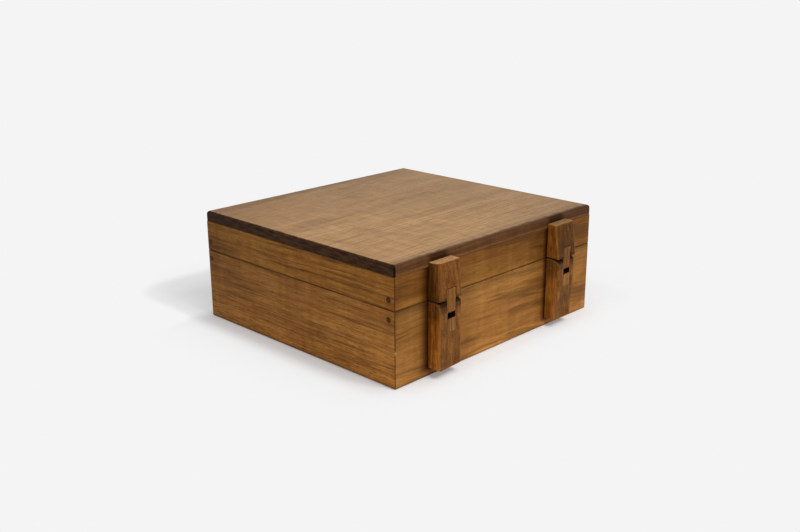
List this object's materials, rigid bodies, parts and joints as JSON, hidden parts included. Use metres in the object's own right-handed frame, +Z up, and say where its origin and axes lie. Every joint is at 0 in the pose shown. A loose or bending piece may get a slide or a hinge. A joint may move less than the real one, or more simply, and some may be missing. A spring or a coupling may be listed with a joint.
{
  "type": "wooden box",
  "caption": "Rectangular hardwood box with pegged mitred corners and a lift-up lid that turns on carved wooden knuckle hinges with metal pins.",
  "frame": {"origin": "middle of the underside of the box, on the surface that it stands on", "axes": "+Z up, +Y to the back where the hinges are, +X to the right of a person at the front"},
  "size_m": [0.306, 0.3011, 0.12],
  "materials": {
    "case_wood": "oiled, satin",
    "lid_wood": "oiled, satin",
    "hinge_wood": "oiled, hand carved",
    "peg_wood": "dark end grain",
    "pin_steel": "dull wire"
  },
  "bodies": {
    "base": {"base_front_wall": "case_wood", "base_back_wall": "case_wood", "base_left_wall": "case_wood", "base_right_wall": "case_wood", "base_bottom_board": "case_wood", "base_corner_pegs": "peg_wood", "lower_leaf_dowels": "peg_wood", "left_lower_leaf": "hinge_wood", "left_slot_block": "hinge_wood", "left_hinge_pin": "pin_steel", "right_lower_leaf": "hinge_wood", "right_slot_block": "hinge_wood", "right_hinge_pin": "pin_steel"},
    "lid": {"lid_front_rail": "case_wood", "lid_back_rail": "case_wood", "lid_left_rail": "case_wood", "lid_right_rail": "case_wood", "lid_top_board": "lid_wood", "lid_corner_pegs": "peg_wood", "upper_leaf_dowels": "peg_wood", "left_upper_leaf": "hinge_wood", "left_hinge_tongue": "hinge_wood", "right_upper_leaf": "hinge_wood", "right_hinge_tongue": "hinge_wood"}
  },
  "joints": [
    {"name": "lid_hinge", "type": "hinge", "parent": "base", "child": "lid", "pos_m": [0, 0.149, 0.0666], "axis": [-1, 0, 0], "range_deg": [0, 94]}
  ]
}
